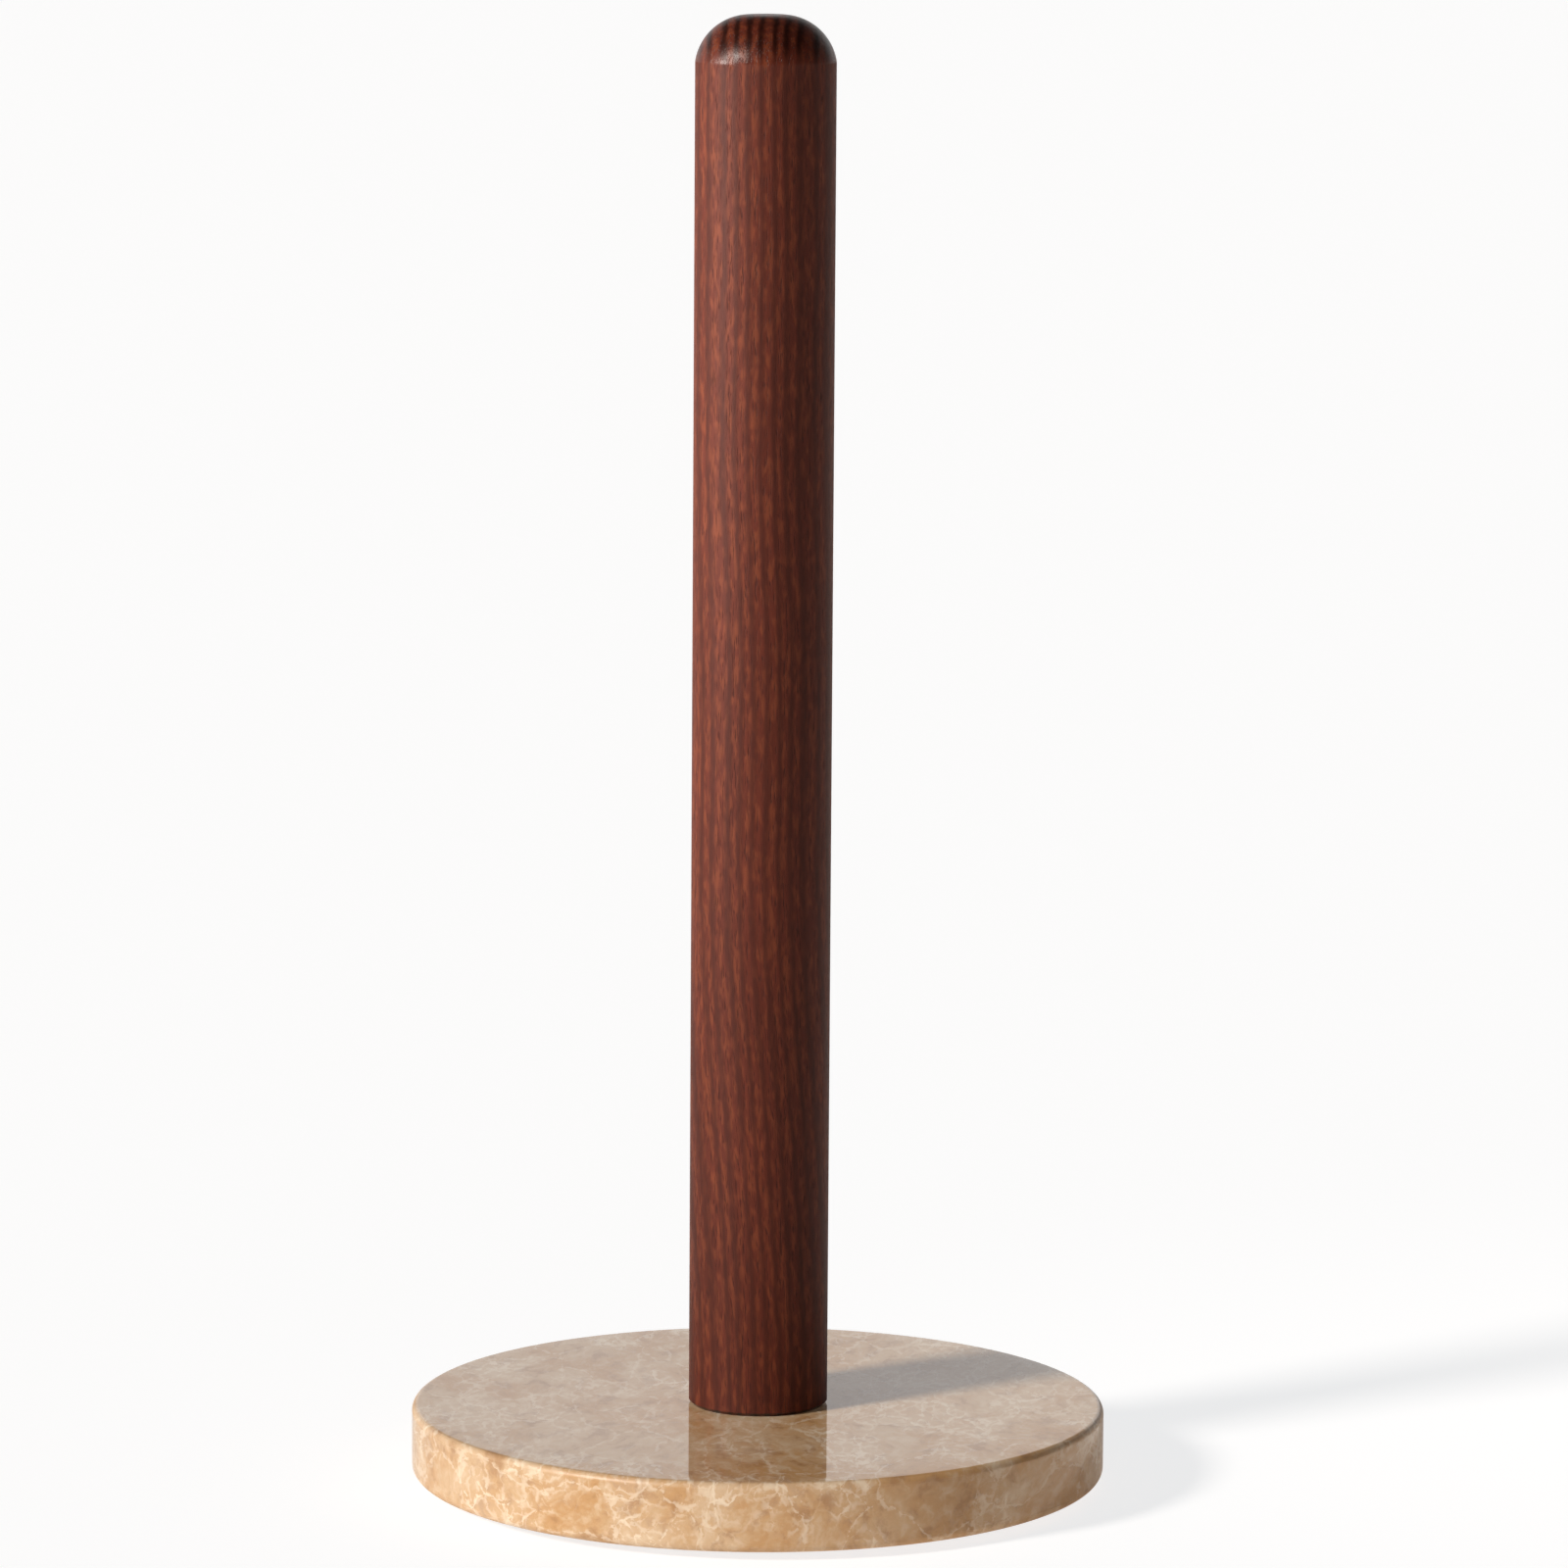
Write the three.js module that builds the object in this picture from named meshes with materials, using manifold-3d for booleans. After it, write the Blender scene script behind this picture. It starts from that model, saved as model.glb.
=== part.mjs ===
// Paper towel holder: a round stone base and the upright wooden post that a roll slides over.
// Millimetres, +Z up. The origin lies on the table, under the middle of the post.
//
// The post is bolted to the base from below. Bolt head, spring washer and flat washer sit in a
// counterbore in the stone, and the bolt screws into a brass insert in the foot of the post.
// Four rubber pads under the base carry the holder.

import * as THREE from "three";
import { mergeVertices } from "three/addons/utils/BufferGeometryUtils.js";
import Module from "manifold-3d";

const wasm = await Module();
wasm.setup();

// ---- Driving dimensions ----

const BASE_RADIUS = 75;
const BASE_THICKNESS = 15;
const BASE_TOP_ROUNDING = 1.5;
const BASE_UNDER_ROUNDING = 2;

const POST_RADIUS = 15;
const POST_HEIGHT = 300;
const POST_TOP_FLAT = 3.5; // radius of the small flat left at the very top
const POST_FOOT_CHAMFER = 0.8;

const PAD_RADIUS = 8;
const PAD_THICKNESS = 2;
const PAD_INSET = 17; // from the rim of the base to the middle of a pad
const PAD_COUNT = 4;

const BOLT_DIAMETER = 8;
const THREAD_PITCH = 1.25;
const THREAD_ENGAGEMENT = 15; // how far the bolt reaches into the post

// ---- Fastener proportions, as shares of the bolt's diameter ----

const HEAD_RADIUS = 0.875 * BOLT_DIAMETER;
const HEAD_HEIGHT = 0.55 * BOLT_DIAMETER;
const HEAD_RIM = 0.1 * BOLT_DIAMETER; // straight edge of the head under its dome
const SOCKET_ACROSS_FLATS = 0.625 * BOLT_DIAMETER;
const SOCKET_DEPTH = 0.32 * BOLT_DIAMETER;
const THREAD_DEPTH = 0.61 * THREAD_PITCH;

const SPRING_WASHER_RADIUS = 0.92 * BOLT_DIAMETER;
const SPRING_WASHER_THICKNESS = 0.25 * BOLT_DIAMETER;
const SPRING_WASHER_SLIT = 0.1 * BOLT_DIAMETER;
const SPRING_WASHER_SLANT = 25; // degrees that the slit leans from upright

const FLAT_WASHER_RADIUS = 1.5 * BOLT_DIAMETER;
const FLAT_WASHER_THICKNESS = 0.25 * BOLT_DIAMETER;

const INSERT_RADIUS = 0.75 * BOLT_DIAMETER;
const INSERT_LENGTH = 2.25 * BOLT_DIAMETER;
const INSERT_RIB_PITCH = 0.3 * BOLT_DIAMETER;
const INSERT_RIB_DEPTH = 0.09 * BOLT_DIAMETER;

// ---- Clearances ----

const BOLT_CLEARANCE = 0.5; // radial, bolt to the hole in the stone and to the flat washer
const WASHER_CLEARANCE = 0.25; // radial, bolt to the spring washer
const THREAD_CLEARANCE = 0.1; // radial, bolt to the insert
const INSERT_CLEARANCE = 0.1; // radial, insert to its bore in the wood
const COUNTERBORE_CLEARANCE = 2; // radial, room for a socket key beside the flat washer
const SEAT_CLEARANCE = 1; // radial, post to the edge that the free top face of the slab starts at
const HEAD_RECESS = 0.6; // the bolt's head stays this far inside the stone
const INSERT_RECESS = 0.5; // the insert stays this far inside the wood
const BORE_SPARE_DEPTH = 3; // blind bore beyond the insert

// ---- Sizes worked out from the above ----

const BOLT_RADIUS = BOLT_DIAMETER / 2;
const BOLT_HOLE_RADIUS = BOLT_RADIUS + BOLT_CLEARANCE;
const WASHER_STACK = SPRING_WASHER_THICKNESS + FLAT_WASHER_THICKNESS;
const COUNTERBORE_RADIUS = FLAT_WASHER_RADIUS + COUNTERBORE_CLEARANCE;
const COUNTERBORE_DEPTH = HEAD_RECESS + HEAD_HEIGHT + WASHER_STACK;
const STONE_WEB = BASE_THICKNESS - COUNTERBORE_DEPTH; // stone clamped between washer and post
const SHANK_LENGTH = WASHER_STACK + STONE_WEB + THREAD_ENGAGEMENT;
const INSERT_BORE_RADIUS = INSERT_RADIUS + INSERT_CLEARANCE;
const INSERT_BORE_DEPTH = INSERT_RECESS + INSERT_LENGTH + BORE_SPARE_DEPTH;

const BASE_UNDERSIDE = PAD_THICKNESS;
const BASE_TOP = BASE_UNDERSIDE + BASE_THICKNESS;
const HEAD_Z = BASE_UNDERSIDE + HEAD_RECESS;
const SPRING_WASHER_Z = HEAD_Z + HEAD_HEIGHT;
const FLAT_WASHER_Z = SPRING_WASHER_Z + SPRING_WASHER_THICKNESS;

// ---- Smoothness: flats around each turned piece ----

const BASE_FLATS = 96;
const POST_FLATS = 72;
const SMALL_FLATS = 48;

// ---- Materials ----

const stone = new THREE.MeshStandardMaterial({ color: 0xc8ab8a, roughness: 0.15, metalness: 0 });
const wood = new THREE.MeshStandardMaterial({ color: 0x6b3529, roughness: 0.5, metalness: 0 });
const brass = new THREE.MeshStandardMaterial({ color: 0xc9a24e, roughness: 0.35, metalness: 1 });
const steel = new THREE.MeshStandardMaterial({ color: 0xb4b6b8, roughness: 0.35, metalness: 1 });
const rubber = new THREE.MeshStandardMaterial({ color: 0x2b2a29, roughness: 0.85, metalness: 0 });

// ---- Profile and solid helpers ----

// A profile point: distance from the axis, then height.
function at(radius, height) {
  return new THREE.Vector2(radius, height);
}

// Points on an arc in a profile. Angles are in degrees: 0 points outwards, 90 points up.
function arc(centre, radius, fromDegrees, toDegrees, steps) {
  return Array.from({ length: steps + 1 }, (_, i) => {
    const degrees = fromDegrees + ((toDegrees - fromDegrees) * i) / steps;
    const angle = THREE.MathUtils.degToRad(degrees);
    return at(centre.x + radius * Math.cos(angle), centre.y + radius * Math.sin(angle));
  });
}

// Zigzag of equal ring ridges that fills the height between two levels, from the bottom up.
function ridges(innerRadius, outerRadius, low, high, pitch) {
  const count = Math.floor((high - low) / pitch);
  const start = high - count * pitch;
  const points = [];
  for (let i = 0; i < count; i++) {
    points.push(at(innerRadius, start + i * pitch));
    points.push(at(outerRadius, start + (i + 0.5) * pitch));
  }
  points.push(at(innerRadius, high));
  return points;
}

// Solid of revolution about +Z. The profile runs from the axis out, up, and back to the axis.
function turned(profile, flats) {
  return new THREE.LatheGeometry(profile, flats).rotateX(Math.PI / 2);
}

// Ring about +Z. The profile goes once round its own section: out, up, in and down.
function turnedRing(profile, flats) {
  return turned([...profile, profile[0].clone()], flats);
}

// A three.js geometry as a manifold-3d solid.
function solid(geometry) {
  const bare = new THREE.BufferGeometry();
  bare.setAttribute("position", geometry.toNonIndexed().getAttribute("position"));
  const merged = mergeVertices(bare, 1e-4);
  return new wasm.Manifold(
    new wasm.Mesh({
      numProp: 3,
      vertProperties: merged.getAttribute("position").array,
      triVerts: new Uint32Array(merged.index.array),
    }),
  );
}

// The first geometry with the second one cut away.
function cut(geometry, cutter) {
  const mesh = solid(geometry).subtract(solid(cutter)).getMesh();
  return new THREE.BufferGeometry()
    .setAttribute("position", new THREE.BufferAttribute(mesh.vertProperties, mesh.numProp))
    .setIndex(new THREE.BufferAttribute(mesh.triVerts, 1));
}

// ---- Stone base ----

// Slab with both rims rounded, a hole for the bolt and a counterbore for its head and washers.
function baseSlab() {
  const topCentre = at(BASE_RADIUS - BASE_TOP_ROUNDING, BASE_THICKNESS - BASE_TOP_ROUNDING);
  const underCentre = at(BASE_RADIUS - BASE_UNDER_ROUNDING, BASE_UNDER_ROUNDING);
  return turnedRing(
    [
      at(COUNTERBORE_RADIUS, 0),
      ...arc(underCentre, BASE_UNDER_ROUNDING, -90, 0, 6),
      ...arc(topCentre, BASE_TOP_ROUNDING, 0, 90, 6),
      at(POST_RADIUS + SEAT_CLEARANCE, BASE_THICKNESS),
      at(BOLT_HOLE_RADIUS, BASE_THICKNESS),
      at(BOLT_HOLE_RADIUS, COUNTERBORE_DEPTH),
      at(COUNTERBORE_RADIUS, COUNTERBORE_DEPTH),
    ],
    BASE_FLATS,
  );
}

// Soft pad: a disc with a small rounding around the face that touches the table.
function footPad() {
  const rounding = PAD_THICKNESS / 4;
  return turned(
    [
      at(0, 0),
      ...arc(at(PAD_RADIUS - rounding, rounding), rounding, -90, 0, 4),
      at(PAD_RADIUS, PAD_THICKNESS),
      at(0, PAD_THICKNESS),
    ],
    SMALL_FLATS,
  );
}

// ---- Wooden post ----

// Dowel with a rounded-over top, a chamfered foot and a blind bore for the insert.
function post() {
  const roundOver = POST_RADIUS - POST_TOP_FLAT;
  return turned(
    [
      at(0, INSERT_BORE_DEPTH),
      at(INSERT_BORE_RADIUS, INSERT_BORE_DEPTH),
      at(INSERT_BORE_RADIUS, 0),
      at(POST_RADIUS - POST_FOOT_CHAMFER, 0),
      at(POST_RADIUS, POST_FOOT_CHAMFER),
      ...arc(at(POST_TOP_FLAT, POST_HEIGHT - roundOver), roundOver, 0, 90, 14),
      at(0, POST_HEIGHT),
    ],
    POST_FLATS,
  );
}

// ---- Fasteners ----

// Insert with ribs outside that bite into the wood. Its own thread is left as a plain bore.
function threadedInsert() {
  const bore = BOLT_RADIUS + THREAD_CLEARANCE;
  const core = INSERT_RADIUS - INSERT_RIB_DEPTH;
  return turnedRing(
    [
      at(bore, 0),
      at(core, 0),
      ...ridges(core, INSERT_RADIUS, INSERT_RIB_PITCH, INSERT_LENGTH, INSERT_RIB_PITCH),
      at(bore, INSERT_LENGTH),
    ],
    SMALL_FLATS,
  );
}

function flatWasher() {
  const edge = FLAT_WASHER_THICKNESS / 8;
  return turnedRing(
    [
      at(BOLT_HOLE_RADIUS, 0),
      at(FLAT_WASHER_RADIUS - edge, 0),
      at(FLAT_WASHER_RADIUS, edge),
      at(FLAT_WASHER_RADIUS, FLAT_WASHER_THICKNESS - edge),
      at(FLAT_WASHER_RADIUS - edge, FLAT_WASHER_THICKNESS),
      at(BOLT_HOLE_RADIUS, FLAT_WASHER_THICKNESS),
    ],
    SMALL_FLATS,
  );
}

// Lock washer pressed flat: a ring with one slanted slit.
function springWasher() {
  const inner = BOLT_RADIUS + WASHER_CLEARANCE;
  const ring = turnedRing(
    [
      at(inner, 0),
      at(SPRING_WASHER_RADIUS, 0),
      at(SPRING_WASHER_RADIUS, SPRING_WASHER_THICKNESS),
      at(inner, SPRING_WASHER_THICKNESS),
    ],
    SMALL_FLATS,
  );
  const slit = new THREE.BoxGeometry(
    SPRING_WASHER_RADIUS,
    SPRING_WASHER_SLIT,
    4 * SPRING_WASHER_THICKNESS,
  );
  slit.rotateX(THREE.MathUtils.degToRad(SPRING_WASHER_SLANT));
  slit.translate((inner + SPRING_WASHER_RADIUS) / 2, 0, SPRING_WASHER_THICKNESS / 2);
  return cut(ring, slit);
}

// Button-head bolt that points up, with a hexagonal socket in the underside of its head.
function clampBolt() {
  const domeHeight = HEAD_HEIGHT - HEAD_RIM;
  const crown = 0.6 * HEAD_RADIUS; // radius of the flat around the socket
  const tip = HEAD_HEIGHT + SHANK_LENGTH;
  const root = BOLT_RADIUS - THREAD_DEPTH;
  const plainEnd = HEAD_HEIGHT + WASHER_STACK;
  const dome = Array.from({ length: 7 }, (_, i) => {
    const angle = (i / 6) * (Math.PI / 2);
    return at(
      crown + (HEAD_RADIUS - crown) * Math.sin(angle),
      domeHeight * (1 - Math.cos(angle)),
    );
  });
  const body = turned(
    [
      at(0, 0),
      ...dome,
      at(HEAD_RADIUS, HEAD_HEIGHT),
      at(BOLT_RADIUS, HEAD_HEIGHT),
      at(BOLT_RADIUS, plainEnd),
      ...ridges(root, BOLT_RADIUS, plainEnd + THREAD_DEPTH, tip, THREAD_PITCH),
      at(0, tip),
    ],
    SMALL_FLATS,
  );
  const socketRadius = SOCKET_ACROSS_FLATS / Math.sqrt(3); // to a corner of the hexagon
  const socket = new THREE.CylinderGeometry(socketRadius, socketRadius, 2 * SOCKET_DEPTH, 6);
  socket.rotateX(Math.PI / 2);
  return cut(body, socket);
}

// ---- Assembly ----

const holder = new THREE.Group();

function place(name, geometry, material, x, y, z) {
  const mesh = new THREE.Mesh(geometry, material);
  mesh.name = name;
  mesh.position.set(x, y, z);
  holder.add(mesh);
}

place("base_slab", baseSlab(), stone, 0, 0, BASE_UNDERSIDE);
place("post", post(), wood, 0, 0, BASE_TOP);
place("threaded_insert", threadedInsert(), brass, 0, 0, BASE_TOP + INSERT_RECESS);
place("flat_washer", flatWasher(), steel, 0, 0, FLAT_WASHER_Z);
place("spring_washer", springWasher(), steel, 0, 0, SPRING_WASHER_Z);
place("clamp_bolt", clampBolt(), steel, 0, 0, HEAD_Z);

for (let i = 0; i < PAD_COUNT; i++) {
  const angle = ((i + 0.5) / PAD_COUNT) * 2 * Math.PI;
  const reach = BASE_RADIUS - PAD_INSET;
  const x = reach * Math.cos(angle);
  const y = reach * Math.sin(angle);
  place(`foot_pad_${i + 1}`, footPad(), rubber, x, y, 0);
}

export default holder;
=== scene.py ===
"""Paper towel holder: a polished marble disc with an upright stained ash post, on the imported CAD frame."""

import math

import bmesh
import bpy
from mathutils import Matrix, Vector

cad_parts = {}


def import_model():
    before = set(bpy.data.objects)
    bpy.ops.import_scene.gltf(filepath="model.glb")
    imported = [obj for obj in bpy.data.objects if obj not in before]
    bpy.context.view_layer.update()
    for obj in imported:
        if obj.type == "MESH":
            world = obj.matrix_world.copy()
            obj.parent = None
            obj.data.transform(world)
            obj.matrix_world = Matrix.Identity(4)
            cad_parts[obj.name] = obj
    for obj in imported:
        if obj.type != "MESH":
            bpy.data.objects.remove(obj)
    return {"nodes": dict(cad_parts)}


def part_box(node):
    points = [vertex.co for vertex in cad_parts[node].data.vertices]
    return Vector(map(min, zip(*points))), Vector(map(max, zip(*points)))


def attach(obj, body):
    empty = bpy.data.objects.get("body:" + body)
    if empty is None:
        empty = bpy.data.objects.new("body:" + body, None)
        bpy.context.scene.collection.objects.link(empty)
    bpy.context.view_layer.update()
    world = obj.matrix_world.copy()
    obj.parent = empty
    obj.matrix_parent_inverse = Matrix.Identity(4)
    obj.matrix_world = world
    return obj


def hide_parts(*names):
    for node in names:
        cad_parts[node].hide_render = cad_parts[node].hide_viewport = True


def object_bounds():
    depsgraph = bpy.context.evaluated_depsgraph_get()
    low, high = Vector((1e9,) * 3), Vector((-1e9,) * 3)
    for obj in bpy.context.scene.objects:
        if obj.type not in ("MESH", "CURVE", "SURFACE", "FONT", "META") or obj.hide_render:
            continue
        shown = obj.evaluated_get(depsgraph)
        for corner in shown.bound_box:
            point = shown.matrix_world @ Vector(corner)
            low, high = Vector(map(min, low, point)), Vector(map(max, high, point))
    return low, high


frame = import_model()
CAD_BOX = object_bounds()

MM = 0.001
MM_PER_METRE = 1000
HEAD_TO_BOLT = 1.75  # how many times as wide as its bolt a button head is

# ---- Sizes read from the CAD frame ----

SLAB_LOW, SLAB_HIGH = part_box("base_slab")
POST_LOW, POST_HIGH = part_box("post")
BOLT_LOW, BOLT_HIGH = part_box("clamp_bolt")
SPRING_LOW, SPRING_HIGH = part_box("spring_washer")
FLAT_LOW, FLAT_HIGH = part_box("flat_washer")

BASE_RADIUS = SLAB_HIGH.x
POST_RADIUS = POST_HIGH.x
POST_HEIGHT = POST_HIGH.z - POST_LOW.z
HEAD_RADIUS = BOLT_HIGH.x
BOLT_RADIUS = HEAD_RADIUS / HEAD_TO_BOLT
FLAT_WASHER_RADIUS = FLAT_HIGH.x
SPRING_WASHER_RADIUS = -SPRING_LOW.x

# ---- Shape details, as in the CAD ----

BASE_TOP_ROUNDING = 1.5 * MM
BASE_UNDER_ROUNDING = 2 * MM
WASHER_ROOM = 2 * MM  # between the wide washer and the wall of its counterbore
BOLT_ROOM = 0.5 * MM  # between the bolt and the wall of its hole
COUNTERBORE_RADIUS = FLAT_WASHER_RADIUS + WASHER_ROOM
BOLT_HOLE_RADIUS = BOLT_RADIUS + BOLT_ROOM
POST_TOP_FLAT = 3.5 * MM  # radius of the flat on the rounded top
POST_FOOT_CHAMFER = 0.8 * MM
SHOULDER_BREAK = 9  # degrees that the round-over starts off upright, seen as a faint line
SHOULDER_BEVEL = 1  # degrees of the round-over that a short bevel takes the place of
# Rings this far below the shoulder keep the side's shading straight.
SHOULDER_RINGS = (0.5 * MM, 0.2 * MM)
INSERT_BORE_RADIUS = 6.1 * MM
INSERT_BORE_DEPTH = 21.5 * MM
THREAD_PITCH = 1.25 * MM
THREAD_DEPTH = 0.61 * THREAD_PITCH
FLAT_WASHER_EDGE = 0.25 * MM  # rounding of its rim
SPRING_WASHER_ROOM = 0.25 * MM  # between the bolt and the lock washer
SPRING_WASHER_EDGE = 0.15 * MM  # bevel on its corners
SLIT_HALF_ANGLE = math.radians(4)  # half of the lock washer's slit, seen from its axis
SLIT_LEAN = math.radians(4)  # how much further round the slit's upper edges lie than its lower ones
PAD_COUNT = 4

# ---- Smoothness ----

LARGE_FLATS = 288
POST_FLATS = 192
SMALL_FLATS = 96
SPRING_WASHER_STEPS = 90
SHARP_ANGLE = 32  # degrees: a harder edge than this is shaded as an edge
MERGE_DISTANCE = 1e-7


# ---- Mesh helpers ----


def mesh_object(name, vertices, faces):
    """A smooth-shaded mesh object, with its hard edges marked."""
    mesh = bpy.data.meshes.new(name)
    mesh.from_pydata(vertices, [], faces)
    made = bmesh.new()
    made.from_mesh(mesh)
    bmesh.ops.remove_doubles(made, verts=made.verts, dist=MERGE_DISTANCE)
    bmesh.ops.recalc_face_normals(made, faces=made.faces)
    made.to_mesh(mesh)
    made.free()
    mesh.shade_smooth()
    mesh.set_sharp_from_angle(angle=math.radians(SHARP_ANGLE))
    made_object = bpy.data.objects.new(name, mesh)
    bpy.context.scene.collection.objects.link(made_object)
    return made_object


def arc(centre, radius, from_degrees, to_degrees, steps):
    """Points (distance from axis, height) on an arc. 0 degrees points outwards and 90 up."""
    points = []
    for i in range(steps + 1):
        angle = math.radians(from_degrees + (to_degrees - from_degrees) * i / steps)
        points.append((centre[0] + radius * math.cos(angle), centre[1] + radius * math.sin(angle)))
    return points


def line(start, end, steps):
    """Points on a straight line between two profile points, without the first one."""
    return [
        (start[0] + (end[0] - start[0]) * i / steps, start[1] + (end[1] - start[1]) * i / steps)
        for i in range(1, steps + 1)
    ]


def round_section(angle):
    """Keeps a turned section round, whatever the angle."""
    return 1.0


def hexagon_section(angle):
    """Turns a round section into a hexagon with the same corners."""
    half_side = math.pi / 6
    return math.cos(half_side) / math.cos((angle % (2 * half_side)) - half_side)


def turned(name, profile, flats, closed=False, sections=None):
    """Revolves a profile of (distance from axis, height) about Z. A closed one joins up with itself.
    sections gives the shape of each profile point's ring, and is round where it is left out."""
    rings = []
    vertices = []
    for index, (radius, height) in enumerate(profile):
        section = (sections or {}).get(index, round_section)
        ring = []
        for i in range(flats):
            angle = 2 * math.pi * i / flats
            reach = radius * section(angle)
            ring.append(len(vertices))
            vertices.append((reach * math.cos(angle), reach * math.sin(angle), height))
        rings.append(ring)
    faces = []
    pairs = list(zip(rings, rings[1:] + rings[:1]))
    for lower, upper in pairs if closed else pairs[:-1]:
        for i in range(flats):
            j = (i + 1) % flats
            faces.append((lower[i], lower[j], upper[j], upper[i]))
    return mesh_object(name, vertices, faces)


def show(piece, slot, material, *nodes):
    """Gives a piece its material and puts it in the place of the CAD nodes it stands for."""
    piece.data.materials.append(material)
    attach(piece, "root")
    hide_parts(*nodes)


# ---- Material helpers ----


class Nodes:
    """Short names for the nodes of one tree. Most methods return an output socket."""

    def __init__(self, tree):
        self.tree = tree

    def node(self, kind, **settings):
        made = self.tree.nodes.new(kind)
        for key, value in settings.items():
            setattr(made, key, value)
        return made

    def feed(self, socket, value):
        """Links a socket or sets a number, vector or colour."""
        if isinstance(value, bpy.types.NodeSocket):
            self.tree.links.new(value, socket)
        elif value is not None:
            socket.default_value = value

    def feed_all(self, made, values):
        """Feeds a node's inputs in order, and returns its first output."""
        for socket, value in zip(made.inputs, values):
            self.feed(socket, value)
        return made.outputs[0]

    # Places and vectors

    def place(self):
        """The point on the surface in the frame of the CAD, in millimetres."""
        coordinates = self.node("ShaderNodeTexCoord")
        return self.scaled(coordinates.outputs["Object"], MM_PER_METRE)

    def vector(self, operation, a, b=None):
        return self.feed_all(self.node("ShaderNodeVectorMath", operation=operation), (a, b))

    def length(self, vector):
        made = self.node("ShaderNodeVectorMath", operation="LENGTH")
        self.feed(made.inputs[0], vector)
        return made.outputs["Value"]

    def scaled(self, vector, amount):
        """A vector or colour times a number, which may vary over the surface."""
        made = self.node("ShaderNodeVectorMath", operation="SCALE")
        self.feed(made.inputs[0], vector)
        self.feed(made.inputs["Scale"], amount)
        return made.outputs["Vector"]

    def split(self, vector):
        made = self.node("ShaderNodeSeparateXYZ")
        self.feed(made.inputs[0], vector)
        return made.outputs[:3]

    def join(self, x, y, z):
        return self.feed_all(self.node("ShaderNodeCombineXYZ"), (x, y, z))

    def drawn_out(self, x, y, z, share):
        """A place with its height shrunk to a share, which draws its noise out along the grain."""
        return self.join(x, y, self.multiply(z, share))

    def upright(self):
        """How far the surface faces straight up or down, from 0 to 1."""
        normal = self.node("ShaderNodeNewGeometry").outputs["Normal"]
        return self.math("ABSOLUTE", self.split(normal)[2])

    # Numbers

    def math(self, operation, a, b=None, c=None):
        return self.feed_all(self.node("ShaderNodeMath", operation=operation), (a, b, c))

    def multiply(self, a, b):
        return self.math("MULTIPLY", a, b)

    def add_share(self, value, share, start):
        """start plus a share of value."""
        return self.math("MULTIPLY_ADD", value, share, start)

    def between(self, value, at_zero, at_one):
        """A number that goes from at_zero to at_one as value goes from 0 to 1."""
        return self.math("MULTIPLY_ADD", value, at_one - at_zero, at_zero)

    def vary(self, noise, reach, middle=0.0):
        """A number up to half of reach either side of middle, from a noise between 0 and 1."""
        return self.math("MULTIPLY_ADD", self.math("SUBTRACT", noise, 0.5), reach, middle)

    def step(self, value, low, high, to_low=0.0, to_high=1.0):
        """A soft step from to_low at low to to_high at high."""
        made = self.node("ShaderNodeMapRange", interpolation_type="SMOOTHSTEP")
        return self.feed_all(made, (value, low, high, to_low, to_high))

    # Patterns. Their scale is in features per millimetre.

    def noise_node(self, vector, scale, detail, roughness):
        made = self.node("ShaderNodeTexNoise")
        self.feed(made.inputs["Vector"], vector)
        made.inputs["Scale"].default_value = scale
        made.inputs["Detail"].default_value = detail
        made.inputs["Roughness"].default_value = roughness
        return made

    def noise(self, vector, scale, detail=2.0, roughness=0.5):
        """Noise from 0 to 1."""
        return self.noise_node(vector, scale, detail, roughness).outputs["Fac"]

    def shift(self, vector, scale, reach, detail=2.0):
        """A sideways shift of up to about reach millimetres each way."""
        colour = self.noise_node(vector, scale, detail, 0.5).outputs["Color"]
        centred = self.vector("SUBTRACT", colour, (0.5, 0.5, 0.5))
        return self.scaled(centred, 2 * reach)

    def cell_edge(self, vector, scale):
        """Distance to the nearest wall between cells, as a share of a cell."""
        made = self.node("ShaderNodeTexVoronoi", feature="DISTANCE_TO_EDGE")
        self.feed(made.inputs["Vector"], vector)
        made.inputs["Scale"].default_value = scale
        return made.outputs["Distance"]

    # Colours and relief

    def mix(self, share, a, b):
        """Colour a where share is 0 and colour b where it is 1."""
        made = self.node("ShaderNodeMix", data_type="RGBA")
        self.feed(made.inputs["Factor"], share)
        self.feed(made.inputs["A"], a)
        self.feed(made.inputs["B"], b)
        return made.outputs["Result"]

    def bump(self, height, distance, strength):
        """A normal for relief that is distance metres tall where height is 1."""
        made = self.node("ShaderNodeBump")
        made.inputs["Strength"].default_value = strength
        made.inputs["Distance"].default_value = distance
        self.feed(made.inputs["Height"], height)
        return made.outputs["Normal"]


class Shader(Nodes):
    """The nodes of one new material, around its Principled surface."""

    def __init__(self, name):
        self.material = bpy.data.materials.new(name)
        self.material.use_nodes = True
        super().__init__(self.material.node_tree)
        self.surface = self.tree.nodes["Principled BSDF"]

    def set(self, **values):
        """Sets or links the surface's sockets by name, with _ for a space."""
        for key, value in values.items():
            self.feed(self.surface.inputs[key.replace("_", " ")], value)


def srgb(red, green, blue):
    """A screen colour from 0 to 255 as linear light with full opacity."""

    def linear(value):
        share = value / 255
        return share / 12.92 if share <= 0.04045 else ((share + 0.055) / 1.055) ** 2.4

    return (linear(red), linear(green), linear(blue), 1.0)


# ---- Wood ----

LATE_WOOD = srgb(70, 29, 20)  # the dense, dark half of each growth ring
EARLY_WOOD = srgb(87, 37, 25)  # its open, paler half
DASH = srgb(111, 55, 34)  # short light streaks along the grain
PORE = srgb(44, 19, 16)

RING_WIDTH = 2.75  # millimetres from one growth ring to the next
PITH = (-160.0, -6.0)  # millimetres from the post's axis to the middle of the tree
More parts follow.
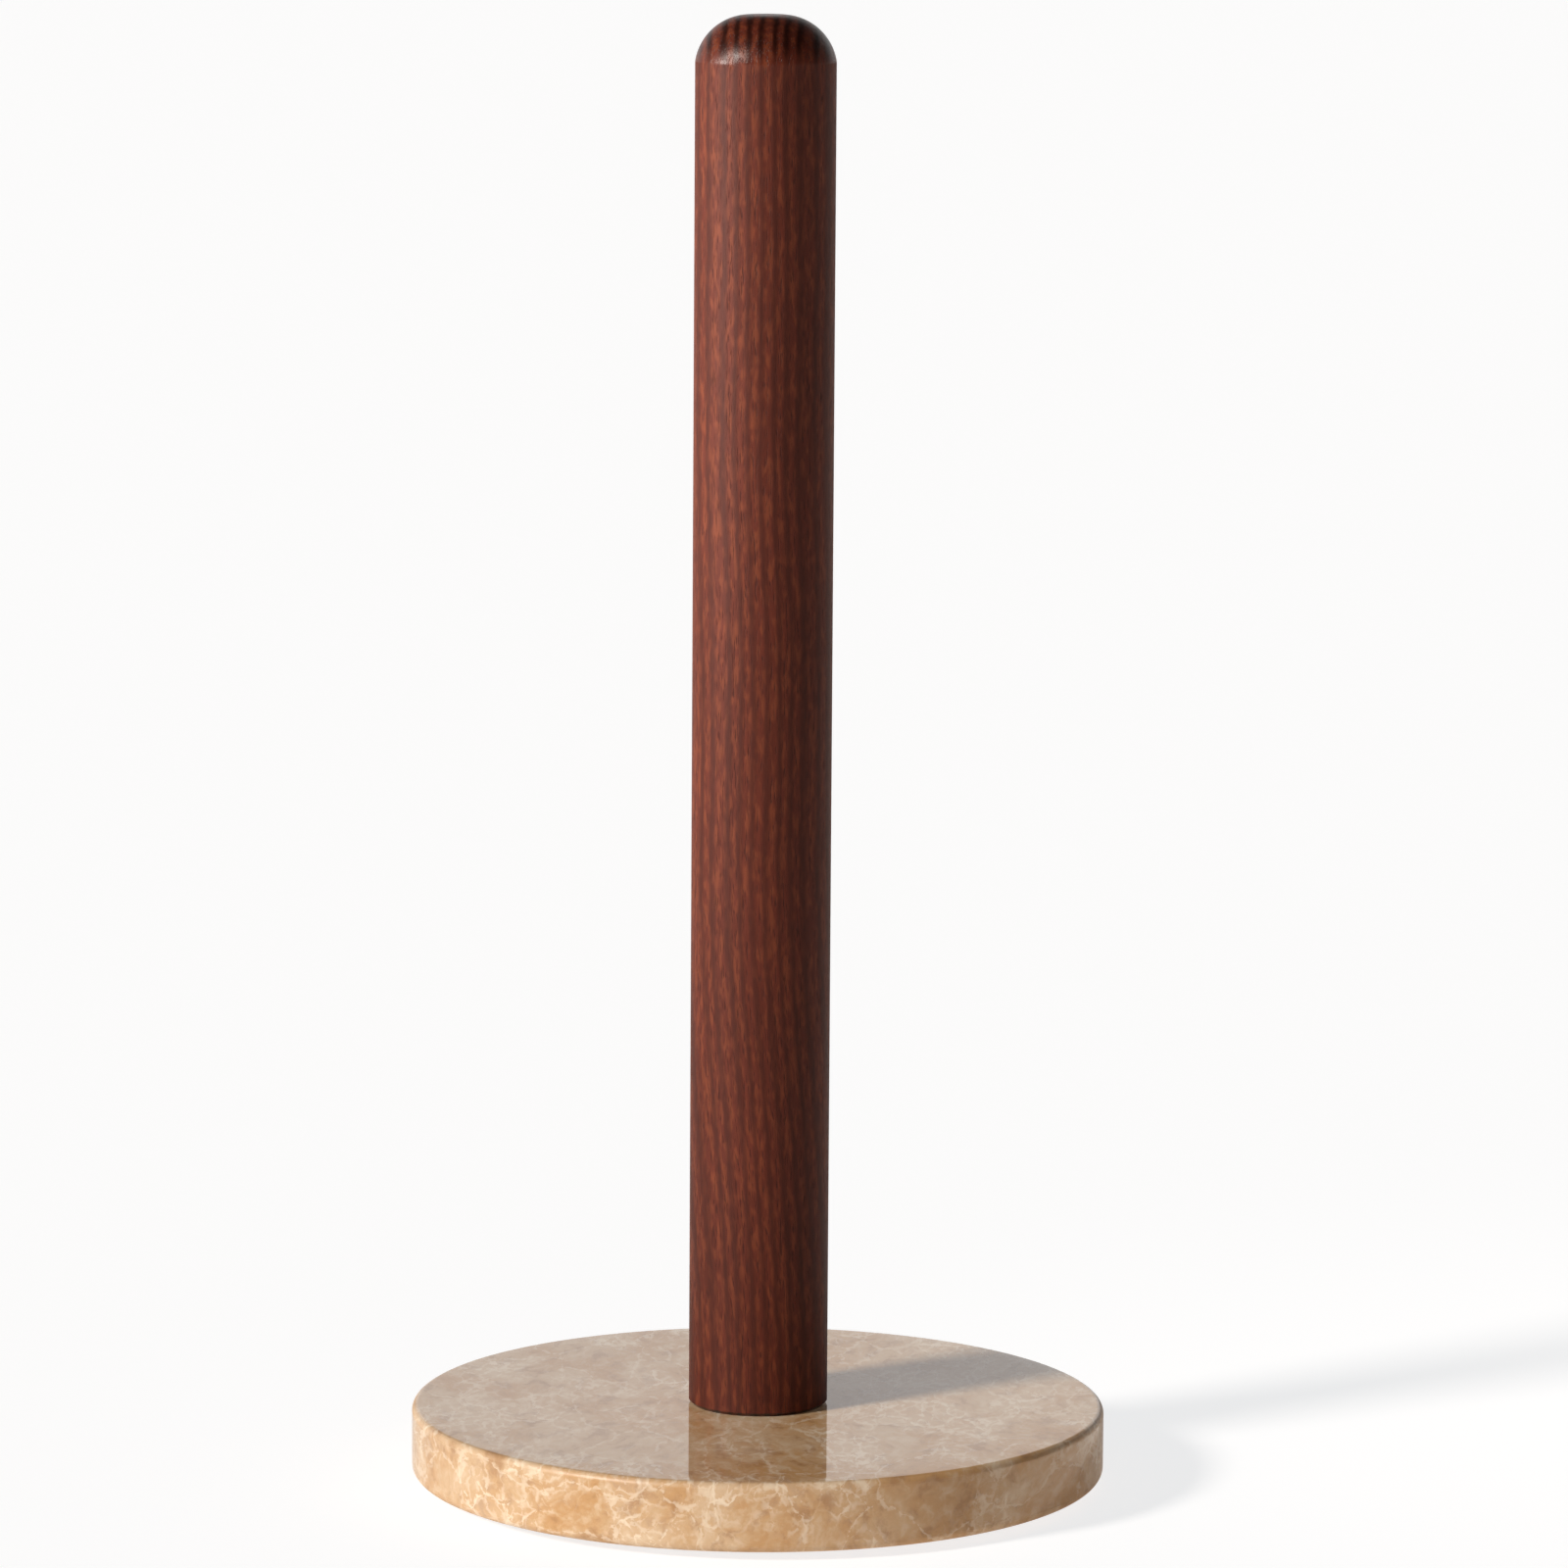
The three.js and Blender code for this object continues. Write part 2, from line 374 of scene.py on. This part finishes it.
# Stretches where the grain drifts sideways. Each has its start and its end, as shares of the
# height measured down from the top, and its drift in millimetres.
GRAIN_SWEEPS = ((0.27, 0.48, 1.4), (0.58, 1.02, 6.8))


def wood_material():
    """Open-grained ash with a red-brown stain and a thin satin finish, cut from a solid 3-D block."""
    s = Shader("stained_ash")
    x, y, z = s.split(s.place())
    swept_x = grain_sweep(s, x, z)
    early = early_wood(s, swept_x, y, z)

    # Long cells: rows of short light dashes in the open early wood, with dark pores between them.
    dash_place = s.drawn_out(swept_x, y, z, share=0.3)
    fine_place = s.drawn_out(swept_x, y, z, share=0.09)
    dashes = s.step(s.noise(dash_place, scale=0.9, detail=1.5), low=0.42, high=0.66)
    dashes = s.multiply(dashes, s.between(early, 0.15, 0.75))
    pores = s.step(s.noise(fine_place, scale=3.4), low=0.55, high=0.68)
    pores = s.multiply(pores, s.between(early, 0.2, 0.65))
    strands = s.noise(fine_place, scale=1.5)
    fibres = s.noise(fine_place, scale=7.5, detail=3.0, roughness=0.65)
    cloud = s.noise(s.drawn_out(x, y, z, share=0.3), scale=0.09)

    colour = s.mix(early, LATE_WOOD, EARLY_WOOD)
    colour = s.mix(dashes, colour, DASH)
    colour = s.mix(pores, colour, PORE)

    # Darker where the surface faces up or down. On the rounded top this is end grain, which soaks up more of
    # the stain. On the foot's chamfer it is painted shade: the dark line where the post meets the stone.
    upright = s.upright()
    end_grain_and_foot_shade = s.step(upright, low=0.05, high=0.55)
    stain_and_foot_shade = s.multiply(end_grain_and_foot_shade, s.between(early, 0.76, 0.33))
    tone = s.vary(fibres, reach=0.35, middle=1.0)
    tone = s.vary(cloud, reach=0.4, middle=tone)
    tone = s.vary(strands, reach=0.55, middle=tone)
    # Takes the end-grain stain, and the painted shade on the foot's chamfer, out of the tone.
    tone = s.multiply(tone, s.math("SUBTRACT", 1.0, stain_and_foot_shade))

    # Hands and paper rolls have polished the shoulder and the rounded top.
    polished = s.step(upright, low=0.01, high=0.12)
    height = s.add_share(early, -0.35, s.multiply(fibres, 0.5))
    height = s.add_share(pores, -1.2, height)
    s.set(
        Base_Color=s.scaled(colour, tone),
        Roughness=s.add_share(pores, 0.2, s.between(polished, 0.56, 0.3)),
        Normal=s.bump(height, distance=0.06 * MM, strength=0.9),
        Specular_IOR_Level=0.2,
    )
    return s.material


def grain_sweep(s, x, z):
    """The sideways place in the block, where the grain drifts a little on its way down the post."""
    top = POST_HIGH.z / MM
    below_top = s.math("DIVIDE", s.math("SUBTRACT", top, z), POST_HEIGHT / MM)
    for start, end, drift in GRAIN_SWEEPS:
        x = s.math("SUBTRACT", x, s.step(below_top, low=start, high=end, to_high=drift))
    return x


def early_wood(s, x, y, z):
    """1 in the open half of each growth ring and 0 in the dense half. The rings are shells around
    the pith, pushed about by slow and quick waves along the grain and not quite even in width."""
    from_pith = s.join(s.math("SUBTRACT", x, PITH[0]), s.math("SUBTRACT", y, PITH[1]), 0.0)
    distance = s.length(from_pith)
    slow = s.noise(s.drawn_out(x, y, z, share=0.35), scale=0.045, detail=1.0)
    quick = s.noise(s.drawn_out(x, y, z, share=0.2), scale=0.4, detail=1.0)
    uneven = s.noise(s.join(distance, 0.0, 0.0), scale=0.16, detail=1.0)
    waves = s.vary(slow, reach=2.4)
    waves = s.vary(quick, reach=0.9, middle=waves)
    waves = s.vary(uneven, reach=3.0, middle=waves)
    rings = s.math("DIVIDE", s.math("ADD", distance, waves), RING_WIDTH)
    return s.step(s.math("PINGPONG", rings, 0.5), low=0.04, high=0.42)


# ---- Stone ----

AMBER = srgb(196, 155, 108)
TAN = srgb(206, 176, 140)
BROWN = srgb(160, 118, 80)
PALE = srgb(220, 200, 172)
CREAM = srgb(240, 227, 206)  # the veins

STONE_CUT = (130.0, 0.0, 170.0)  # millimetres: where in the block the slab was cut
STONE_STRETCH = (1.2, 0.66, 1.2)  # marks are drawn out from front to back, and small the other ways
STONE_IOR = 1.52
# Each finer net of veins is cut from its own part of the block, in millimetres further in.
VEINS_CUT = (41.0, 7.0, 23.0)
HAIRS_CUT = (13.0, 59.0, 31.0)
THINNEST_VEIN = 0.0005  # as a share of a cell


def stone_material():
    """Polished breccia marble: tan and amber fragments in a broken net of fine cream veins."""
    s = Shader("polished_marble")
    bedded = s.vector("MULTIPLY", s.vector("ADD", s.place(), STONE_CUT), STONE_STRETCH)
    drift = s.shift(bedded, scale=0.035, reach=9.0)
    jitter = s.shift(bedded, scale=0.3, reach=1.6, detail=2.5)
    shifted = s.vector("ADD", s.vector("ADD", bedded, drift), jitter)

    cloud = s.noise(shifted, scale=0.06, detail=3.0, roughness=0.55)
    mottle = s.noise(shifted, scale=0.2, detail=4.0, roughness=0.6)
    grain = s.noise(bedded, scale=1.2, detail=3.0, roughness=0.6)
    veins = stone_veins(s, bedded, shifted, mottle)

    colour = s.mix(s.step(cloud, low=0.36, high=0.62), AMBER, TAN)
    colour = s.mix(s.step(mottle, low=0.5, high=0.7, to_high=0.6), colour, BROWN)
    colour = s.mix(s.step(mottle, low=0.32, high=0.5, to_low=0.5, to_high=0.0), colour, PALE)
    colour = s.mix(veins, colour, CREAM)

    # The rounded edges are ground by hand, so they are less glossy than the faces.
    upright = s.upright()
    off_side = s.step(upright, low=0.02, high=0.2)
    off_face = s.step(upright, low=0.8, high=0.98, to_low=1.0, to_high=0.0)
    edge = s.multiply(off_side, off_face)
    s.set(
        Base_Color=s.scaled(colour, s.vary(grain, reach=0.15, middle=1.0)),
        Roughness=s.add_share(edge, 0.4, s.add_share(grain, 0.03, 0.02)),
        Normal=s.bump(s.add_share(veins, -0.5, grain), distance=0.002 * MM, strength=0.3),
        IOR=STONE_IOR,
    )
    return s.material


def stone_veins(s, bedded, shifted, mottle):
    """Three nets of veins, dense where the stone was crushed and nearly gone in whole fragments."""
    crushed = s.step(s.noise(shifted, scale=0.055, detail=3.0), low=0.44, high=0.62)
    thickness = s.noise(bedded, scale=0.5, detail=3.0, roughness=0.6)
    long_veins = vein_net(s, shifted, thickness, scale=0.05, width=0.04)
    veins = vein_net(s, s.vector("ADD", shifted, VEINS_CUT), thickness, scale=0.12, width=0.1)
    hairs = vein_net(s, s.vector("ADD", shifted, HAIRS_CUT), thickness, scale=0.27, width=0.18)
    long_veins = s.multiply(long_veins, 0.45)
    veins = s.multiply(veins, s.between(crushed, 0.1, 0.6))
    hairs = s.multiply(hairs, s.multiply(crushed, 0.35))
    white = s.math("MAXIMUM", long_veins, s.math("MAXIMUM", veins, hairs))
    return s.add_share(s.multiply(crushed, mottle), 0.3, white)


def vein_net(s, place, thickness, scale, width):
    """Soft lines on the walls between cells, wide and narrow by turns and gone in places."""
    edge = s.cell_edge(place, scale)
    half_width = s.step(thickness, low=0.38, high=0.72, to_high=width)
    half_width = s.math("MAXIMUM", half_width, THINNEST_VEIN)
    return s.step(s.math("DIVIDE", edge, half_width), low=0.0, high=2.0, to_low=1.0, to_high=0.0)


# ---- Metal and rubber ----


def steel_material():
    """Zinc-plated steel with fine turning marks."""
    s = Shader("zinc_steel")
    place = s.place()
    x, y, z = s.split(place)
    from_axis = s.length(s.join(x, y, 0.0))
    turning = s.noise(s.join(from_axis, s.multiply(z, 2.0), 0.0), scale=5.0)
    patches = s.noise(place, scale=0.7, detail=3.0)
    s.set(
        Base_Color=s.mix(s.step(patches, low=0.3, high=0.7), srgb(168, 170, 172), srgb(196, 197, 196)),
        Metallic=1.0,
        Roughness=s.between(patches, 0.22, 0.42),
        Normal=s.bump(turning, distance=0.02 * MM, strength=0.4),
    )
    return s.material


def brass_material():
    """Turned brass, a little dull."""
    s = Shader("turned_brass")
    patches = s.noise(s.place(), scale=0.5, detail=3.0)
    s.set(
        Base_Color=s.mix(patches, srgb(186, 144, 70), srgb(214, 176, 98)),
        Metallic=1.0,
        Roughness=s.between(patches, 0.25, 0.45),
    )
    return s.material


def rubber_material():
    """Matt black rubber with a fine moulded grain and a little dust."""
    s = Shader("black_rubber")
    place = s.place()
    grain = s.noise(place, scale=6.0)
    dust = s.noise(place, scale=0.6, detail=3.0)
    s.set(
        Base_Color=s.mix(s.step(dust, low=0.5, high=0.8), srgb(36, 35, 34), srgb(58, 56, 53)),
        Roughness=s.between(dust, 0.75, 0.9),
        Normal=s.bump(grain, distance=0.03 * MM, strength=0.5),
    )
    return s.material


# ---- Pieces ----


def base_slab(material):
    """The disc, with both rims rounded, a bolt hole through it and a counterbore from below."""
    low, high = SLAB_LOW.z, SLAB_HIGH.z
    under = (BASE_RADIUS - BASE_UNDER_ROUNDING, low + BASE_UNDER_ROUNDING)
    top = (BASE_RADIUS - BASE_TOP_ROUNDING, high - BASE_TOP_ROUNDING)
    counterbore_top = FLAT_HIGH.z
    profile = [(COUNTERBORE_RADIUS, low)]
    profile += line(profile[-1], (under[0], low), steps=10)[:-1]
    profile += arc(under, BASE_UNDER_ROUNDING, -90, 0, steps=12)
    profile += line(profile[-1], (BASE_RADIUS, top[1]), steps=8)[:-1]
    profile += arc(top, BASE_TOP_ROUNDING, 0, 90, steps=12)
    profile += line(profile[-1], (BOLT_HOLE_RADIUS, high), steps=16)
    profile += [(BOLT_HOLE_RADIUS, counterbore_top), (COUNTERBORE_RADIUS, counterbore_top)]
    show(turned("marble_base", profile, LARGE_FLATS, closed=True), "stone", material, "base_slab")


def post(material):
    """The dowel, chamfered at its foot, rounded over at its top and bored for the insert."""
    low, high = POST_LOW.z, POST_HIGH.z
    # The round-over starts off upright by a few degrees, so its radius grows to reach the side.
    lean = math.radians(SHOULDER_BREAK)
    round_over = (POST_RADIUS - POST_TOP_FLAT) / math.cos(lean)
    centre = (POST_TOP_FLAT, high - round_over)
    shoulder_z = centre[1] + round_over * math.sin(lean)
    profile = [(0.0, low + INSERT_BORE_DEPTH), (INSERT_BORE_RADIUS, low + INSERT_BORE_DEPTH)]
    profile += [(INSERT_BORE_RADIUS, low), (POST_RADIUS - POST_FOOT_CHAMFER, low)]
    profile += [(POST_RADIUS, low + POST_FOOT_CHAMFER)]
    profile += line(profile[-1], (POST_RADIUS, shoulder_z - SHOULDER_RINGS[0]), steps=40)
    profile += [(POST_RADIUS, shoulder_z - SHOULDER_RINGS[1])]
    profile += arc(centre, round_over, SHOULDER_BREAK + SHOULDER_BEVEL, 90, steps=40)
    profile += line(profile[-1], (0.0, high), steps=4)
    show(turned("wooden_post", profile, POST_FLATS), "wood", material, "post")


def flat_washer(material):
    """Wide washer with a rounded rim."""
    low, high = FLAT_LOW.z, FLAT_HIGH.z
    edge = FLAT_WASHER_EDGE
    corner = FLAT_WASHER_RADIUS - edge
    profile = [(BOLT_HOLE_RADIUS, low)]
    profile += arc((corner, low + edge), edge, -90, 0, steps=4)
    profile += arc((corner, high - edge), edge, 0, 90, steps=4)
    profile += [(BOLT_HOLE_RADIUS, high)]
    made = turned("wide_washer", profile, SMALL_FLATS, closed=True)
    show(made, "fasteners", material, "flat_washer")


def foot_pad(number, material):
    """Round rubber pad with softened rims."""
    node = f"foot_pad_{number}"
    low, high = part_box(node)
    radius = (high.x - low.x) / 2
    middle = (low + high) / 2
    edge = (high.z - low.z) / 4
    profile = [(0.0, low.z), (radius - 3 * edge, low.z)]
    profile += arc((radius - edge, low.z + edge), edge, -90, 0, steps=6)
    profile += arc((radius - edge / 2, high.z - edge / 2), edge / 2, 0, 90, steps=4)
    profile += [(0.0, high.z)]
    made = turned(f"rubber_pad_{number}", profile, SMALL_FLATS)
    made.data.transform(Matrix.Translation((middle.x, middle.y, 0.0)))
    show(made, "pads", material, node)


def clamp_bolt(material):
    """Button head with a hexagonal socket that opens downwards, and the threaded shank above it."""
    low = BOLT_LOW.z
    high = SPRING_LOW.z
    diameter = 2 * BOLT_RADIUS
    socket_radius = 0.36 * diameter
    socket_depth = 0.32 * diameter
    crown_radius = 0.6 * HEAD_RADIUS
    rim_height = 0.1 * diameter
    dome_height = high - low - rim_height
    dome_steps = 12
    profile = [(0.0, low + socket_depth), (socket_radius, low + socket_depth), (socket_radius, low)]
    sections = {1: hexagon_section, 2: hexagon_section}
    for i in range(dome_steps + 1):
        angle = math.pi / 2 * i / dome_steps
        reach = crown_radius + (HEAD_RADIUS - crown_radius) * math.sin(angle)
        profile.append((reach, low + dome_height * (1 - math.cos(angle))))
    profile += [(HEAD_RADIUS, high), (BOLT_RADIUS, high), (BOLT_RADIUS, FLAT_HIGH.z)]
    root = BOLT_RADIUS - THREAD_DEPTH
    count = int((BOLT_HIGH.z - FLAT_HIGH.z) / THREAD_PITCH)
    for i in range(count):
        start = BOLT_HIGH.z - (count - i) * THREAD_PITCH
        profile += [(root, start), (BOLT_RADIUS, start + THREAD_PITCH / 2)]
    profile += [(root, BOLT_HIGH.z), (0.0, BOLT_HIGH.z)]
    made = turned("button_bolt", profile, SMALL_FLATS, sections=sections)
    show(made, "fasteners", material, "clamp_bolt")


def spring_washer(material):
    """Ring of rectangular section, bevelled at its corners, with one open slit that leans."""
    low, high = SPRING_LOW.z, SPRING_HIGH.z
    inner = BOLT_RADIUS + SPRING_WASHER_ROOM
    outer = SPRING_WASHER_RADIUS
    edge = SPRING_WASHER_EDGE
    section = [
        (inner, low + edge), (inner + edge, low), (outer - edge, low), (outer, low + edge),
        (outer, high - edge), (outer - edge, high), (inner + edge, high), (inner, high - edge),
    ]
    vertices = []
    for i in range(SPRING_WASHER_STEPS + 1):
        share = i / SPRING_WASHER_STEPS
        turn = SLIT_HALF_ANGLE + (2 * math.pi - 2 * SLIT_HALF_ANGLE) * share
        lean = SLIT_LEAN if share in (0, 1) else 0.0
        for radius, height in section:
            angle = turn + lean * (height - low) / (high - low)
            vertices.append((radius * math.cos(angle), radius * math.sin(angle), height))
    count = len(section)
    last = SPRING_WASHER_STEPS * count
    faces = [tuple(range(count)), tuple(range(last, last + count))]
    for i in range(SPRING_WASHER_STEPS):
        for j in range(count):
            k = (j + 1) % count
            faces.append((i * count + j, i * count + k, (i + 1) * count + k, (i + 1) * count + j))
    show(mesh_object("lock_washer", vertices, faces), "fasteners", material, "spring_washer")


# ---- Camera ----

CAMERA_DISTANCE = 1.626  # in front of the holder's axis
CAMERA_HEIGHT = 0.397
CAMERA_AIM = Vector((0.0048, 0.0, 0.1526))
CAMERA_ROLL = 0.0065  # radians: the camera is a touch off level
CAMERA_LENS = 176.0
CAMERA_SENSOR = 36.0
CAMERA_REACH = 50.0  # the furthest that it sees


def camera():
    data = bpy.data.cameras.new("camera")
    data.lens = CAMERA_LENS
    data.sensor_width = CAMERA_SENSOR
    data.clip_end = CAMERA_REACH
    made = bpy.data.objects.new("camera", data)
    bpy.context.scene.collection.objects.link(made)
    place = Vector((0.0, -CAMERA_DISTANCE, CAMERA_HEIGHT))
    forward = (CAMERA_AIM - place).normalized()
    right = forward.cross(Vector((0, 0, 1))).normalized()
    up = right.cross(forward)
    rolled_right = right * math.cos(CAMERA_ROLL) + up * math.sin(CAMERA_ROLL)
    rolled_up = up * math.cos(CAMERA_ROLL) - right * math.sin(CAMERA_ROLL)
    turn = Matrix((rolled_right, rolled_up, -forward)).transposed().to_4x4()
    made.matrix_world = Matrix.Translation(place) @ turn
    bpy.context.scene.camera = made


# ---- Lights ----

SUN_LEFT = math.radians(56)  # how far round to the left of the camera the sun stands
SUN_HEIGHT = math.radians(28)
SUN_WIDTH = math.radians(10)  # a wide sun, for soft shadows
SUN_POWER = 3.42
SUN_COLOUR = (1.0, 0.93, 0.86)

SPOT_PLACE = (-1.0, -0.28, 0.49)
SPOT_AIM = (0.0, 0.0, 0.25)
SPOT_WIDTH = math.radians(23)
SPOT_RADIUS = 0.12
SPOT_POWER = 67
SPOT_COLOUR = (1.0, 0.92, 0.86)


def aimed(name, data, place, target):
    """Puts a light in the scene at place, pointing at target."""
    made = bpy.data.objects.new(name, data)
    bpy.context.scene.collection.objects.link(made)
    made.location = place
    made.rotation_euler = (Vector(target) - Vector(place)).to_track_quat("-Z", "Y").to_euler()


def lights():
    """Low sun from the front left, and a soft spot further round to the left on the upper post."""
    sun = bpy.data.lights.new("low_sun", "SUN")
    sun.energy = SUN_POWER
    sun.angle = SUN_WIDTH
    sun.color = SUN_COLOUR
    towards = Vector((-math.sin(SUN_LEFT), -math.cos(SUN_LEFT), math.tan(SUN_HEIGHT)))
    aimed("low_sun", sun, towards.normalized(), (0, 0, 0))

    spot = bpy.data.lights.new("side_spot", "SPOT")
    spot.energy = SPOT_POWER
    spot.color = SPOT_COLOUR
    spot.shadow_soft_size = SPOT_RADIUS
    spot.spot_size = SPOT_WIDTH
    spot.spot_blend = 1.0
    spot.use_shadow = False
    aimed("side_spot", spot, SPOT_PLACE, SPOT_AIM)


# ---- Room and floor ----

ROOM_AT_EYE_LEVEL = (0.21, 0.175, 0.16, 1.0)
ROOM_OVERHEAD = (0.03, 0.03, 0.03, 1.0)
WALL = (0.855, 0.835, 0.835, 1.0)
WALL_TURN = -0.2  # the wall's middle lies a little to the left of straight behind
BACKDROP_SEEN = (0.96, 0.96, 0.96, 1.0)

FLOOR_REACH = 30.0
FLOOR_COLOUR = (0.8, 0.8, 0.8, 1.0)
FLOOR_COLOUR_SEEN = (0.35, 0.35, 0.35, 1.0)
FLOOR_GLOW = (0.235, 0.19, 0.155, 1.0)
FLOOR_GLOW_SEEN = (0.76, 0.77, 0.78, 1.0)


def world():
    """A dim room with a bright white wall behind the holder. The camera sees plain white."""
    made = bpy.data.worlds.new("studio")
    bpy.context.scene.world = made
    made.use_nodes = True
    n = Nodes(made.node_tree)
    x, y, z = n.split(n.node("ShaderNodeTexCoord").outputs["Generated"])
    room = n.mix(n.step(z, low=0.1, high=0.7), ROOM_AT_EYE_LEVEL, ROOM_OVERHEAD)
    behind = n.step(n.add_share(x, WALL_TURN, y), low=0.45, high=0.8)
    below_top = n.step(z, low=0.27, high=0.42, to_low=1.0, to_high=0.0)
    lit = n.mix(n.multiply(behind, below_top), room, WALL)
    seen = n.node("ShaderNodeLightPath").outputs["Is Camera Ray"]
    background = made.node_tree.nodes["Background"]
    n.feed(background.inputs["Color"], n.mix(seen, lit, BACKDROP_SEEN))


def floor():
    """Flat floor of pale paper. It glows more for the camera, so that it reads as near white."""
    s = Shader("studio_floor")
    seen = s.node("ShaderNodeLightPath").outputs["Is Camera Ray"]
    s.set(
        Base_Color=s.mix(seen, FLOOR_COLOUR, FLOOR_COLOUR_SEEN),
        Roughness=0.9,
        Specular_IOR_Level=0.0,
        Emission_Color=s.mix(seen, FLOOR_GLOW, FLOOR_GLOW_SEEN),
        Emission_Strength=1.0,
    )
    near, far = -FLOOR_REACH, FLOOR_REACH
    corners = [(near, near, 0), (far, near, 0), (far, far, 0), (near, far, 0)]
    made = mesh_object("floor", corners, [(0, 1, 2, 3)])
    made.location.z = CAD_BOX[0][2]
    made.data.materials.append(s.material)


# ---- The scene ----

marble = stone_material()
wood = wood_material()
steel = steel_material()
brass = brass_material()
rubber = rubber_material()

base_slab(marble)
post(wood)
flat_washer(steel)
spring_washer(steel)
clamp_bolt(steel)
for pad in range(1, PAD_COUNT + 1):
    foot_pad(pad, rubber)

insert = frame["nodes"]["threaded_insert"]
insert.data.materials.clear()
insert.data.materials.append(brass)

camera()
lights()
world()
floor()
bpy.context.scene.view_settings.view_transform = "Standard"
